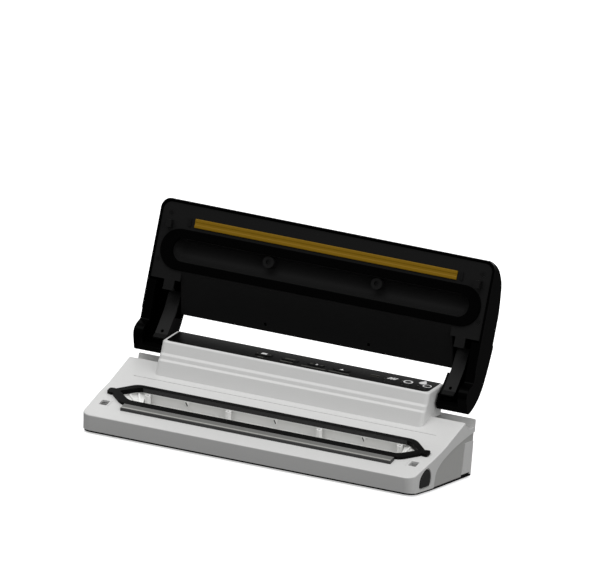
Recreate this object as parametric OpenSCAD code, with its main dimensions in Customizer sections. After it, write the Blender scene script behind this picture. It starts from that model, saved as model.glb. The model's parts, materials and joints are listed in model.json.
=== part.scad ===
// Household vacuum sealer with a hinged lid, shown with the lid open.
// Millimetres, +Z up, front towards -Y, origin on the table at the middle of the footprint.

/* [Base] */
// Width of the base across its side walls, at the back
body_w = 370; // [360:1:380]
// How much each side wall draws in towards the front
flare = 3; // [0:0.5:5]
// Height of the front wall's top edge above the table
front_h = 20.3; // [17:0.1:24]
// Slope of the front zone of the deck
deck_tilt = 16; // [14:0.5:18]
// Slope of the rear zone of the deck
rear_tilt = 21.4; // [20:0.1:23]
// Radius of the two front corners
front_r = 10; // [6:0.5:14]
// Wall of the upper housing
wall = 2.6; // [2.2:0.1:3.2]
// Thickness of the bottom cover
floor_t = 2.2; // [1.8:0.1:3]
// Height of the rubber feet
foot_h = 1.6; // [1.2:0.1:2.5]
// Overall height of the console's back edge
console_h = 90.6; // [86:0.1:95]
// Half of the console's width
console_x = 147; // [140:1:150]

/* [Hinge and lid] */
// Height of the hinge axis
hinge_z = 76.7; // [74:0.1:80]
// Distance of the hinge axis behind the middle
hinge_y = 62.3; // [60:0.1:63]
// Angle the lid is opened from closed
open_angle = 117.3; // [100:0.1:118]
// Width of the lid
lid_w = 366.6; // [355:0.2:370]
// Length of the lid from the hinge axis to its free edge
lid_len = 145.5; // [140:0.5:148]
// Skin of the lid
lid_wall = 2.4; // [2:0.1:3]
// Height of the lid's underside above the deck when closed
lid_gap = 5.3; // [5:0.1:6]
// Diameter of the hinge pins
pin_d = 7; // [5:0.1:8]
// Radial running clearance of the hinge pins
pin_fit = 0.06; // [0.03:0.01:0.1]

/* [Chamber and sealing] */
// Distance of the chamber's middle line from the deck's front edge
chamber_at = 56.3; // [52:0.1:60]
// Half width of the lower gasket
gasket_hb = 22.5; // [20:0.1:25]
// Half length of the lower gasket at its tips
gasket_tip = 174.4; // [170:0.2:178]
// Height the lower gasket stands above the deck
gasket_h = 2.9; // [2:0.1:3.2]
// Depth of the chamber below the deck
chamber_depth = 14; // [10:0.5:16]
// Distance of the sealing bar's middle line from the deck's front edge
bar_at = 27.4; // [26:0.1:28]
// Width of the sealing bar
bar_w = 11; // [9:0.1:11.4]
// Length of the sealing bar
bar_len = 297; // [280:1:300]
// Length of the seal pad in the lid
pad_len = 288; // [270:1:292]
// Width of the seal pad in the lid
pad_w = 9.4; // [8:0.1:10.5]

/* [Controls] */
// Spacing of the four keys
key_pitch = 28.5; // [26:0.1:30]
// Travel of a key
key_travel = 0.4; // [0.3:0.1:0.5]
// Travel of a release button
button_travel = 3; // [2:0.1:3.5]
// Clearance around a moving key or button
slide_fit = 0.3; // [0.25:0.05:0.5]

/* [Hidden] */
front_y = -80.2;
front_bot_y = -74;
rear_bot_y = 76.3;
rear_lean = 0.08;
// The finished part stands with the middle of its length and depth over the origin.
mid_y = 12;
kink_y = -3.9;
kink_z = front_h + (kink_y - front_y) * tan(deck_tilt);
cradle_r = 25;
lip_y = 69.1;
lip_z = 61;
deck_end_y = 43.5;
deck_end_z = kink_z + (deck_end_y - kink_y) * tan(rear_tilt);
hx = body_w / 2;
hf = hx - flare;
hb = hx - 1.4;
lx = lid_w / 2;
st = sin(deck_tilt);
ct = cos(deck_tilt);
deck_b = -st * (front_y - hinge_y) + ct * (front_h - hinge_z);
front_a = -ct * (front_y - hinge_y) - st * (front_h - hinge_z);
chamber_a = front_a - chamber_at;
bar_a = front_a - bar_at;
lid_b = deck_b + lid_gap;
hook_a = front_a - 32.2;
hook_x = 170;
post_x = [-138.6, -50, 50, 138.6];
notch_a = 31.6;
arm_x0 = console_x + 2.2;
ridge_a = 73.5;
top_tilt = 6.4;
top_y = 31;
top_z = console_h - 38 * tan(top_tilt);
boss_xy = [[-168, -66], [168, -66], [-172, 8], [172, 8], [-120, 69], [120, 69], [0, 69], [-60, -66], [60, -66]];
foot_xy = [[-150, -60], [150, -60], [-150, 60], [150, 60]];
key_x = [for (i = [0:3]) -42.5 + i * key_pitch];
vent_x = [for (i = [0:9]) 40 + i * 8];

function edge_n(a, b) = [-(b - a)[1], (b - a)[0]] / norm(b - a);
function cross2(a, b) = a[0] * b[1] - a[1] * b[0];
function meet(p, u, q, v) = p + u * (cross2(q - p, v) / cross2(u, v));
function inset(p, d) = [for (i = [0:len(p) - 1])
    let (n = len(p), a = p[(i + n - 1) % n], b = p[i], c = p[(i + 1) % n])
    meet(b + edge_n(a, b) * d, b - a, b + edge_n(b, c) * d, c - b)];
function corner(a, b, c, r, k) = r <= 0 ? [b] :
    let (ta = min(r, norm(a - b) * 0.48), tc = min(r, norm(c - b) * 0.48),
         s = b + (a - b) / norm(a - b) * ta, e = b + (c - b) / norm(c - b) * tc)
    [for (j = [0:k]) let (t = j / k) s * (1 - t) * (1 - t) + b * 2 * t * (1 - t) + e * t * t];
function soft(p, r, k = 6) = [for (i = [0:len(p) - 1])
    let (n = len(p)) each corner(p[(i + n - 1) % n], p[i], p[(i + 1) % n], r[i], k)];
function rear_y(z) = rear_bot_y - rear_lean * z;
function rev(p) = [for (i = [len(p) - 1:-1:0]) p[i]];
function same(n, r) = [for (i = [0:n - 1]) r];

// Side profiles are drawn in the Y-Z plane and pushed along X.
function base_pts(low) = [[front_bot_y - (low - foot_h) * tan(18.3), low], [rear_y(low), low],
    [rear_y(lip_z), lip_z], [deck_end_y, deck_end_z], [kink_y, kink_z], [front_y, front_h]];
function console_pts(d) = [[20, 40], [rear_y(40), 40], [rear_y(console_h), console_h],
    [top_y, top_z], [28.2, 72.5], [24, 68.4], [20.8, 51]];
function hexa(tip, bend, hb) = [[-tip, 0], [-bend, -hb], [bend, -hb], [tip, 0], [bend, hb], [-bend, hb]];
// Lid profiles are drawn with the lid lying flat: Y runs back to the hinge axis, Z is outward.
lid_top = [[-lid_len - 0.6, lid_b + 4], [-136.5, 4.4], [-126, 16.4], [-108, 21.4], [-88, 25.4], [-69, 27]];
function lid_pts(low, rear) = rev(concat([[-lid_len, low]], lid_top, [[-rear, 21.9], [-rear, low]]));
arm_back = [[-62, 26.6], [-50, 25], [-38, 23.2], [-18, 18.4], [-8, 13.4], [1, 6.2], [7.4, -1.4], [11, -7.4],
    [10.2, -11.2]];
function arm_pts() = rev(concat([[-62, lid_b - 1.2]], arm_back,
    [[3.4, -16], [-4, -21.6], [-10, -22], [-14.5, -18.5], [-20.6, lid_b + 0.6]]));

module standing() {
  translate([0, -mid_y, 0]) children();
}
module along_x(w) {
  rotate([90, 0, 90]) linear_extrude(w, center = true) children();
}
module rr(w, d, r) {
  square([w - 2 * r, d], center = true);
  square([w, d - 2 * r], center = true);
  for (sx = [-1, 1]) for (sy = [-1, 1])
    translate([sx * (w / 2 - r), sy * (d / 2 - r)]) circle(r, $fn = 40);
}
module deck_frame() {
  translate([0, hinge_y, hinge_z]) rotate([deck_tilt, 0, 0]) children();
}
module lid_frame() {
  translate([0, hinge_y, hinge_z]) rotate([deck_tilt - open_angle, 0, 0]) children();
}
module top_frame() {
  translate([0, top_y, top_z]) rotate([top_tilt, 0, 0]) children();
}
module base_solid(d, low) {
  difference() {
    intersection() {
      along_x(body_w + 2) polygon(soft(inset(base_pts(low), d), [0, 0, 0, 0, 0, 1.5]));
      translate([0, 0, -20]) linear_extrude(140) polygon(inset([[-hf, -90], [hf, -90], [hx, -28], [hx, 90],
        [-hx, 90], [-hx, -28]], d));
    }
    corner_front(d);
  }
}
module corner_front(d) {
  for (s = [-1, 1]) translate([s * (hf + 0.4 - d), front_y + d / cos(18.3), front_h]) rotate([18.3, 0, 0])
    linear_extrude(90, center = true) mirror([s < 0 ? 1 : 0, 0]) difference() {
      translate([d - front_r, -3]) square([front_r + 6, front_r - d + 3]);
      translate([d - front_r, front_r - d]) circle(front_r - d, $fn = 56);
    }
}
module console_solid(d) {
  difference() {
    along_x(2 * (console_x - d)) polygon(soft(inset(console_pts(d), d), [0, 0, 0, 0.6, 2.4, 2.4, 2]));
    for (s = [-1, 1]) translate([s * (console_x - d), 24 + d, 68]) rotate([-14, 0, 0])
      linear_extrude(90, center = true) mirror([s < 0 ? 1 : 0, 0]) difference() {
        translate([d - 7, -12]) square([12, 19 - d]);
        translate([d - 7, 3 - d]) circle(7 - d, $fn = 48);
      }
  }
}
module screw(d, l, head) {
  difference() {
    union() {
      cylinder(d = d, h = l, $fn = 24);
      translate([0, 0, -head * 0.2]) cylinder(d = head, h = head * 0.2, $fn = 32);
    }
    translate([0, 0, -head * 0.2 - 0.01]) for (a = [0, 90]) rotate([0, 0, a])
      translate([-head * 0.3, -head * 0.07, 0]) cube([head * 0.6, head * 0.14, head * 0.12]);
  }
}
module hex_plate(tip, bend, hb, r, b0, b1, k = 7) {
  translate([0, -chamber_a, b0]) linear_extrude(b1 - b0)
    polygon(soft(hexa(tip, bend, hb), [r, k, k, r, k, k], 8));
}
module button_shape(g) {
  // Profile seen from the side: flat foot, arched top leaning with the deck.
  polygon(soft([[-12.6 - g, -9 - g], [12.6 + g, -9 - g], [13 + g, 1], [5 + g, 9.6 + g], [-4 - g, 8 + g],
    [-13 - g, 1]], [4, 4, 7, 5, 7, 5], 6));
}
module side_pocket(extra) {
  polygon(soft([[-20.3, -6], [90, -6], [90, 46 + extra], [58, 43 + extra], [20, 35 + extra], [-6, 26.6 + extra],
    [-18.5, 18 + extra]], [0, 0, 0, 12, 12, 8, 5], 6));
}

// ---------------------------------------------------------------- base
module deck_slots() {
  deck_frame() {
    hex_plate(166.2, 148.6, 18.9, 2.4, deck_b - 9, deck_b + 4);
    translate([0, -bar_a, deck_b]) cube([bar_len + 0.4, bar_w + 0.4, 20], center = true);
    for (s = [-1, 1]) translate([s * hook_x, -hook_a, deck_b]) cube([8.4, 10.6, 14], center = true);
    // Shallow grooves: a line behind the chamber and a mark outboard of each slot.
    translate([0, -55, deck_b + 1.52]) cube([332, 0.7, 0.9], center = true);
    for (s = [-1, 1]) translate([s * (hook_x - 6.4), -hook_a - 1, deck_b]) cube([1, 13, 0.8], center = true);
  }
}
module upper_housing() color("gainsboro") standing() difference() {
  union() {
    difference() {
      union() {
        base_solid(0, foot_h + 1.8);
        console_solid(0);
      }
      base_solid(wall, foot_h - 8);
      console_solid(wall);
      translate([0, 45, 46]) cube([2 * (console_x - wall), 44, 30], center = true);
    }
    // Walls of the two hinge cradles.
    intersection() {
      base_solid(0, foot_h + 1.8);
      for (s = [-1, 1]) translate([s * (console_x + hx) / 2, hinge_y, hinge_z]) rotate([0, 90, 0])
        cylinder(r = cradle_r + wall, h = hx - console_x + 0.02, center = true, $fn = 96);
    }
    // Screw columns, trimmed to the inside of the skin.
    intersection() {
      base_solid(wall - 0.6, foot_h - 8);
      for (p = boss_xy) translate([p[0], p[1], foot_h + floor_t]) cylinder(d = 7.6, h = 54, $fn = 32);
    }
    // Rails under the deck that carry the sealing bar.
    deck_frame() for (s = [-1, 1]) translate([-146, -bar_a + s * (bar_w / 2 + 1) - 1, deck_b - 8.5]) cube([292, 2, 7]);
    // Bosses behind the console's side walls around the hinge holes.
    for (s = [-1, 1]) translate([s * (console_x - wall - 1), hinge_y, hinge_z]) rotate([0, 90, 0])
      cylinder(d = 10.4, h = 2.4, center = true, $fn = 40);
  }
  deck_slots();
  for (s = [-1, 1]) {
    intersection() {
      translate([s * (console_x + hx + 10) / 2, hinge_y, hinge_z]) rotate([0, 90, 0])
        cylinder(r = cradle_r, h = hx - console_x + 10, center = true, $fn = 96);
      translate([-200, 0, 0]) cube([400, lip_y, 120]);
    }
    translate([s * (console_x - 2), hinge_y, hinge_z]) rotate([0, 90, 0])
      cylinder(d = pin_d + 2 * pin_fit, h = 12, center = true, $fn = 48);
    // Opening of the release button and the arched recess of the side wall.
    translate([s * hb, -47.5, 16.3]) along_x(20) button_shape(slide_fit);
    translate([s * (hb + 0.2), -47.5, 16.3]) along_x(2) button_shape(1.3);
    difference() {
      translate([s * hx, 0, 0]) along_x(2.4) side_pocket(0);
      translate([s * hx, 56, 20]) cube([4, 12, 60], center = true);
    }
    translate([s * (hx - 0.5), 56, 18]) cube([1.1, 12.1, 46], center = true);
    translate([s * hx, 26, foot_h]) cube([2 * wall + 0.2, 92, 8], center = true);
  }
  // Seat and window of the control panel.
  top_frame() {
    translate([0, 26.9, -1.9]) linear_extrude(6) rr(2 * console_x - 6.4, 50, 5);
    translate([0, 18.6, -8]) linear_extrude(10) rr(2 * console_x - 14, 26, 4);
  }
  for (p = boss_xy) translate([p[0], p[1], 0]) cylinder(d = 2.7, h = 22, $fn = 20);
  // Power inlet and cooling slots in the back wall.
  inlet_frame() cube([24.4, 14, 15.4], center = true);
  for (x = vent_x) translate([x, 74, 22]) rotate([90, 0, 0]) linear_extrude(14, center = true) rr(3, 18, 1.4);
}
module bottom_cover() color("dimgray") standing() difference() {
  union() {
    intersection() {
      base_solid(0.5, foot_h - 0.5);
      translate([0, 0, foot_h + 0.6]) cube([400, 200, 2.3], center = true);
    }
    intersection() {
      base_solid(wall + 0.3, foot_h - 8);
      translate([0, 0, foot_h + floor_t / 2]) cube([400, 200, floor_t], center = true);
    }
    // Raised edges that fill the foot of the side recesses.
    intersection() {
      base_solid(1.2, foot_h - 4);
      for (s = [-1, 1]) translate([s * (hx - 1.7), 26, foot_h + 1.9]) cube([1.4, 91.4, 3.8], center = true);
    }
    // Ribs, spring stops and component posts.
    for (x = [-90, -30, 30, 90]) translate([x - 1, -60, foot_h + floor_t]) cube([2, 52, 3]);
    for (s = [-1, 1]) translate([s * 166.5, -47.5, foot_h + floor_t + 5.8]) cube([2, 12, 12], center = true);
    for (x = [-42, 12]) for (y = [16, 58]) translate([x, y, foot_h + floor_t]) cylinder(d = 6, h = 5, $fn = 24);
    for (x = [-112, -72]) translate([x, 40, foot_h + floor_t]) cylinder(d = 7, h = 2, $fn = 24);
    translate([66, 26, foot_h + floor_t]) cube([58, 24, 2]);
    translate([33, 36, foot_h + floor_t]) cube([16, 16, 3]);
  }
  for (p = boss_xy) translate([p[0], p[1], 0]) {
    cylinder(d = 3.5, h = 12, $fn = 24);
    cylinder(d = 6.6, h = foot_h + 1.1, $fn = 32);
  }
  for (p = foot_xy) translate([p[0], p[1], 0]) cylinder(d = 14.2, h = foot_h + 0.9, $fn = 40);
  for (i = [0:13]) translate([-30 + i * 6, 0, 0]) linear_extrude(6) rr(2.4, 20, 1.1);
}
module rubber_feet() color("black") standing() for (p = foot_xy) translate([p[0], p[1], 0]) {
  cylinder(d = 14, h = foot_h + 0.9, $fn = 40);
}
module housing_screws() color("silver") standing() for (p = boss_xy)
  translate([p[0], p[1], foot_h + 1.1]) screw(2.65, 11, 5.6);
module chamber_tray() color("gray") standing() deck_frame() difference() {
  b0 = deck_b - chamber_depth;
  union() {
    difference() {
      hex_plate(169.2, 150.4, 20.9, 6, b0 - 1.8, deck_b - wall);
      hex_plate(166.4, 148.8, 19.1, 3, b0, deck_b);
    }
    // Screw posts along the far wall, level with the mouth of the well.
    for (x = post_x) translate([x, -chamber_a + 13.6, b0 - 1]) cylinder(d = 6, h = chamber_depth - 1.4, $fn = 32);
    // Small wedge ribs under the rim of the far wall.
    for (x = [-97, 0, 97]) translate([x, -chamber_a + 18, deck_b - wall - 3]) rotate([90, 0, 0])
      linear_extrude(3, center = true) polygon([[-2.8, 2.4], [0.4, -3.6], [2.8, 2.4]]);
    for (s = [-1, 1]) translate([-140, -chamber_a + s * 12 - 0.5, b0 - 0.5]) cube([280, 1, 2]);
    // Suction spigot under the floor and its collar.
    translate([70, -chamber_a, b0 - 9]) cylinder(d = 6, h = 10, $fn = 32);
    translate([70, -chamber_a, b0 - 1]) cylinder(d = 9, h = 3.5, $fn = 32);
  }
  translate([70, -chamber_a, b0 - 10]) cylinder(d = 3.2, h = 20, $fn = 24);
  for (x = post_x) translate([x, -chamber_a + 13.6, b0 + 2]) cylinder(d = 2.6, h = 20, $fn = 24);
}
module chamber_end_inserts() color("white") standing() deck_frame() for (s = [-1, 1]) mirror([s < 0 ? 1 : 0, 0]) {
  // A conical slope that rises to the tip of the well, with ribs fanning out on it.
  intersection() {
    hex_plate(166.1, 148.5, 18.8, 3, deck_b - chamber_depth, deck_b - 2.9);
    translate([0, -chamber_a, deck_b - chamber_depth]) union() {
      difference() {
        translate([141.9, -25, 0]) cube([30, 50, 20]);
        translate([140, 0, 1.6]) cylinder(r1 = 2.4, r2 = 25, h = 10.4, $fn = 72);
      }
      for (a = [-60, -30, 0, 30, 60]) translate([140, 0, 0]) rotate([90, 0, a])
        linear_extrude(2.2, center = true) polygon([[4.2, 0], [28, 0], [28, 16], [4.2, 3.6]]);
    }
  }
}
module lower_gasket() color("black") standing() deck_frame() {
  difference() {
    union() {
      hex_plate(gasket_tip, 153, gasket_hb, 8, deck_b, deck_b + gasket_h);
      for (s = [-1, 1]) translate([s * (gasket_tip - 1.6), -chamber_a, deck_b]) linear_extrude(gasket_h)
        polygon(soft([[-3.4, -4.6], [3.4, -5.6], [4.2, 0], [3.4, 5.6], [-3.4, 4.6]], same(5, 2.4), 5));
      hex_plate(166, 148.4, 18.8, 2.4, deck_b - 2.2, deck_b + 0.5);
    }
    translate([0, 1.5, 0]) hex_plate(164.2, 148, 15.3, 1.2, deck_b - 9, deck_b + gasket_h + 1, 5);
  }
}
module sealing_bar() color("gray") standing() deck_frame() difference() {
  translate([0, -bar_a, deck_b]) along_x(bar_len)
    polygon([[-bar_w / 2, -6.4], [bar_w / 2, -6.4], [bar_w / 2, 2.4], [bar_w / 2 - 0.6, 3], [-bar_w / 2 + 0.8, 3],
      [-bar_w / 2, 2.2]]);
  for (s = [-1, 1]) translate([s * (bar_len / 2 - 3), -bar_a, deck_b]) cube([2, 3.4, 30], center = true);
}
module heating_wire() color("silver") standing() deck_frame() {
  translate([0, -bar_a, deck_b + 3.08]) cube([bar_len - 5, 2.6, 0.16], center = true);
  for (s = [-1, 1]) translate([s * (bar_len / 2 - 3), -bar_a, deck_b - 1.62]) cube([0.5, 2.6, 9.56], center = true);
}
module ptfe_tape() color("tan") standing() deck_frame() difference() {
  translate([0, -bar_a, deck_b + 3.16]) cube([bar_len - 0.6, bar_w - 1.6, 0.32], center = true);
  translate([0, -bar_a, deck_b + 3]) cube([bar_len - 4.8, 2.8, 0.34], center = true);
}
module wire_terminals() color("goldenrod") standing() deck_frame() for (s = [-1, 1])
  translate([s * (bar_len / 2 - 3), -bar_a, deck_b - 7.6]) difference() {
    cube([9, 8, 2.4], center = true);
    translate([s * 2.6, 0, 0]) cylinder(d = 2.4, h = 6, center = true, $fn = 20);
  }

// ---------------------------------------------------------------- controls
module key_plan(g) {
  rr(19 + 2 * g, 8.6 + 2 * g, 4.2 + g);
}
module control_panel() color("black") standing() top_frame() difference() {
  union() {
    intersection() {
      translate([0, 26.9, -1.8]) linear_extrude(1.8) rr(2 * console_x - 6.8, 49.6, 4.8);
      translate([0, 18, 0]) cube([400, 39.6, 10], center = true);
    }
    for (x = [-132, -62, 62, 132]) translate([x, 18.6, -12.4]) cylinder(d = 5, h = 11, $fn = 24);
  }
  for (x = key_x) translate([x, 18.6, -4]) linear_extrude(8) key_plan(slide_fit);
  translate([78.6, 18.6, -4]) linear_extrude(8) rr(11, 2.2, 1);
  for (x = [91, 110, 129]) translate([x, 13.4, -4]) cylinder(d = 1.8, h = 8, $fn = 20);
  for (x = [-132, -62, 62, 132]) translate([x, 18.6, -13]) cylinder(d = 2, h = 9, $fn = 16);
}
module panel_graphics() color("white") standing() top_frame() translate([0, 0, 0]) {
  // Thin printed marks: rings for the programmes and bars below the keys.
  for (x = [95.6, 114.9, 133.6]) translate([x, 20.4, 0]) difference() {
    cylinder(d = 7.4, h = 0.06, $fn = 32);
    translate([0, 0, -1]) cylinder(d = x > 100 ? 5.4 : 4.2, h = 3, $fn = 32);
  }
  for (x = key_x) translate([x, 10.6, 0.03]) cube([15, 1, 0.06], center = true);
}
module key(i) color("darkslategray") standing() top_frame() translate([key_x[i], 18.6, 0]) {
  translate([0, 0, -1.9]) linear_extrude(2.2) key_plan(0);
  translate([0, 0, -3.3]) linear_extrude(1.45) rr(17, 6.6, 3);
  translate([0, 0, -8.1]) cylinder(d = 3.6, h = 5, $fn = 24);
}
module key_1() key(0);
module key_2() key(1);
module key_3() key(2);
module key_4() key(3);
module control_board() color("darkgreen") standing() top_frame() difference() {
  translate([0, 18.6, -13.2]) cube([276, 22, 1.6], center = true);
  for (x = [-132, -62, 62, 132]) translate([x, 18.6, -15]) cylinder(d = 2.4, h = 6, $fn = 16);
}
module key_switches() color("dimgray") standing() top_frame() for (x = key_x) translate([x, 18.6, -12.4]) {
  translate([0, 0, 1.5]) cube([6, 6, 3], center = true);
  translate([0, 0, 2.9]) cylinder(d = 3.2, h = 0.7, $fn = 24);
}
module status_lamps() color("orange") standing() top_frame() {
  for (x = [91, 110, 129]) translate([x, 13.4, -12.4]) {
    cylinder(d = 1.5, h = 12, $fn = 20);
    cylinder(d = 3.2, h = 4, $fn = 20);
  }
  translate([78.6, 18.6, -7.2]) linear_extrude(7) rr(10.6, 1.9, 0.9);
  translate([78.6, 18.6, -9.8]) cube([11, 4, 5.2], center = true);
}

// ---------------------------------------------------------------- inside
bf = foot_h + floor_t;
module power_board() color("green") standing() difference() {
  translate([-15, 37, bf + 5.8]) cube([66, 52, 1.6], center = true);
  for (x = [-42, 12]) for (y = [16, 58]) translate([x, y, bf]) cylinder(d = 2.6, h = 9, $fn = 16);
}
module board_parts() color("darkblue") standing() translate([0, 0, bf + 6.6]) {
  for (x = [-34, -22]) translate([x, 30, 0]) cylinder(d = 8, h = 14, $fn = 32);
  translate([-4, 32, 6]) cube([14, 16, 12], center = true);
  translate([-30, 50, 4]) cube([12, 9, 8], center = true);
  translate([4, 52, 2.5]) cube([18, 8, 5], center = true);
}
module transformer_core() color("slategray") standing() translate([-92, 40, bf + 2 + 15]) difference() {
  cube([46, 34, 30], center = true);
  for (s = [-1, 1]) translate([0, s * 9.5, 0]) cube([47, 8, 18], center = true);
  for (s = [-1, 1]) translate([s * 20, 0, 0]) cylinder(d = 3, h = 40, center = true, $fn = 20);
}
module transformer_winding() color("saddlebrown") standing() translate([-92, 40, bf + 17]) difference() {
  cube([30, 26, 17.4], center = true);
  cube([60, 11.2, 18], center = true);
}
module pump_motor() color("lightgray") standing() translate([66, 38, 24]) rotate([0, 90, 0]) {
  difference() {
    cylinder(d = 27, h = 34, $fn = 56);
    translate([0, 0, 30]) cylinder(d = 3 + 2 * pin_fit, h = 6, $fn = 32);
  }
  translate([0, 0, -2.5]) cylinder(d = 9, h = 3, $fn = 32);
  translate([0, 0, 33.8]) difference() {
    cylinder(d = 9, h = 2.2, $fn = 32);
    cylinder(d = 3 + 2 * pin_fit, h = 6, center = true, $fn = 32);
  }
}
module pump_housing() color("dimgray") standing() translate([102, 38, 24]) difference() {
  translate([11, 0, 0]) cube([22, 30, 28], center = true);
  translate([12.5, 0, 0]) cube([17, 24, 22], center = true);
  translate([-1, 0, 0]) rotate([0, 90, 0]) cylinder(d = 9.1, h = 10, $fn = 32);
  translate([12.5, 0, 8]) cylinder(d = 17, h = 12, $fn = 40);
  translate([18, 0, 0]) cube([12, 20, 18], center = true);
}
module pump_head() color("gray") standing() translate([114.5, 38, 38]) difference() {
  union() {
    translate([0, 0, 3.6]) cube([20, 28, 6], center = true);
    translate([-5, 0, 6]) cylinder(d = 5, h = 8, $fn = 24);
    translate([5, 0, 6]) cylinder(d = 5, h = 6, $fn = 24);
  }
  translate([-5, 0, 5]) cylinder(d = 2.6, h = 20, $fn = 20);
  translate([5, 0, 5]) cylinder(d = 2.6, h = 20, $fn = 20);
  translate([0, 0, 0]) cylinder(d = 15, h = 4, $fn = 40);
}
module pump_crank() color("silver") standing() translate([96.6, 38, 24]) rotate([0, 90, 0]) {
  cylinder(d = 3, h = 16, $fn = 32);
  translate([0, 0, 11.8]) cylinder(d = 9, h = 4, $fn = 32);
  translate([2.6, 0, 15.7]) cylinder(d = 3, h = 5, $fn = 24);
}
module pump_diaphragm() color("black") standing() translate([114.5, 38, 38]) {
  cylinder(d = 20, h = 0.6, $fn = 48);
  translate([0, 0, -4.5]) cylinder(d = 5, h = 5, $fn = 32);
}
module pump_mounts() color("black") standing() difference() {
  union() {
    translate([83, 38, bf + 5.1]) cube([24, 18, 6.2], center = true);
    translate([113, 38, bf + 4.1]) cube([18, 22, 4.2], center = true);
  }
  translate([60, 38, 24]) rotate([0, 90, 0]) cylinder(d = 27, h = 40, $fn = 56);
}
function round_path(p, r, k) = [for (i = [0:len(p) - 1])
    each (i == 0 || i == len(p) - 1 ? [p[i]] : corner(p[i - 1], p[i], p[i + 1], r, k))];
module sweep(p, r, f) {
  // A round hose or wire along the points of p.
  n = len(p);
  ring = [for (i = [0:n - 1]) let (t = p[min(i + 1, n - 1)] - p[max(i - 1, 0)],
      e = cross(t, [0.3, 1, 0.2]), g = cross(t, e), u = e / norm(e), v = g / norm(g))
    for (j = [0:f - 1]) p[i] + r * (u * cos(360 * j / f) + v * sin(360 * j / f))];
  polyhedron(ring, concat([[for (j = [0:f - 1]) j]], [[for (j = [f - 1:-1:0]) (n - 1) * f + j]],
    [for (i = [0:n - 2]) for (j = [0:f - 1]) each
      [[i * f + j, (i + 1) * f + j, i * f + (j + 1) % f],
       [i * f + (j + 1) % f, (i + 1) * f + j, (i + 1) * f + (j + 1) % f]]]));
}
module vacuum_hose() color("lightgray") standing() {
  y0 = hinge_y - ct * chamber_a - st * (deck_b - chamber_depth - 9);
  z0 = hinge_z - st * chamber_a + ct * (deck_b - chamber_depth - 9);
  sweep(round_path([[70, y0, z0], [70, y0 + 2, 8.6], [60, y0 + 14, 8.6], [41, 12, 10], [41, 22, 17], [41, 29.9, 17]],
    12, 5), 2.6, 14);
  sweep(round_path([[109.5, 38, 52], [109.5, 38, 62], [90, 40, 64], [50, 43, 58], [41, 44.4, 48], [41, 44.4, 35]],
    12, 5), 2.6, 14);
}
module release_valve() color("gray") standing() {
  translate([41, 44, bf + 3 + 10]) cube([15, 15, 20], center = true);
  translate([41, 36.6, 17]) rotate([90, 0, 0]) cylinder(d = 5, h = 6.6, $fn = 24);
  translate([41, 44.4, bf + 22.8]) cylinder(d = 5, h = 8.4, $fn = 24);
}
module lid_switch() color("dimgray") standing() translate([-hx + wall + 3.5, 24, 30]) {
  cube([7, 13, 8], center = true);
  translate([0, -2, 5]) cylinder(d = 2.4, h = 2.4, center = true, $fn = 20);
}
module inlet_frame() {
  translate([-150, rear_y(20), 20]) rotate([atan(rear_lean), 0, 0]) children();
}
module power_inlet() color("black") standing() inlet_frame() difference() {
  union() {
    translate([0, -8.5, 0]) cube([24, 17.2, 15], center = true);
    translate([0, 0.6, 0]) cube([27, 1.2, 18], center = true);
  }
  translate([0, 3, 0]) rotate([90, 0, 0]) linear_extrude(14) {
    for (s = [-1, 1]) translate([s * 4.3, 0]) circle(d = 9.4, $fn = 40);
    square([9, 7], center = true);
  }
  for (s = [-1, 1]) translate([s * 4.3, -20, 0]) rotate([-90, 0, 0]) cylinder(d = 2.4, h = 12, $fn = 24);
}
module inlet_pins() color("gold") standing() inlet_frame() for (s = [-1, 1]) translate([s * 4.3, -18.6, 0])
  rotate([-90, 0, 0]) cylinder(d = 2.4, h = 16.6, $fn = 24);

// ---------------------------------------------------------------- release buttons
module button(s) translate([s * hb, -47.5, 16.3]) {
  translate([-s * 1.3, 0, 0]) along_x(4) button_shape(0);
  translate([-s * 4.15, 0, 0]) along_x(1.9) button_shape(1.3);
}
module release_button_left() color("dimgray") standing() button(-1);
module release_button_right() color("dimgray") standing() button(1);
module latch(s) difference() {
  union() {
    deck_frame() translate([s * (hb - 13.6), -hook_a, deck_b - wall - 1.9]) cube([17, 20, 2], center = true);
    translate([s * (hb - 5.9), -48, 15.6]) cube([1.6, 12, 17.2], center = true);
  }
  deck_frame() translate([s * 171, -hook_a, deck_b - wall - 2]) cube([9.6, 10.4, 8], center = true);
}
module latch_plate_left() color("silver") standing() latch(-1);
module latch_plate_right() color("silver") standing() latch(1);
module coil(l, r, w, n) {
  m = 14;
  k = n * m;
  f = 6;
  ring = [for (i = [0:k]) for (j = [0:f - 1]) let (a = 360 * i / m, b = 360 * j / f, rr = r + w * cos(b))
    [l * i / k + w * sin(b), rr * cos(a), rr * sin(a)]];
  polyhedron(ring, concat([[for (j = [f - 1:-1:0]) j]], [[for (j = [0:f - 1]) k * f + j]],
    [for (i = [0:k - 1]) for (j = [0:f - 1]) each
      [[i * f + j, i * f + (j + 1) % f, (i + 1) * f + j],
       [i * f + (j + 1) % f, (i + 1) * f + (j + 1) % f, (i + 1) * f + j]]]));
}
module release_spring(s) mirror([s < 0 ? 1 : 0, 0, 0]) translate([167.9, -47.5, 11]) coil(hb - 6.7 - 168.4, 2.6, 0.35, 6);
module release_spring_left() color("silver") standing() release_spring(-1);
module release_spring_right() color("silver") standing() release_spring(1);

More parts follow.
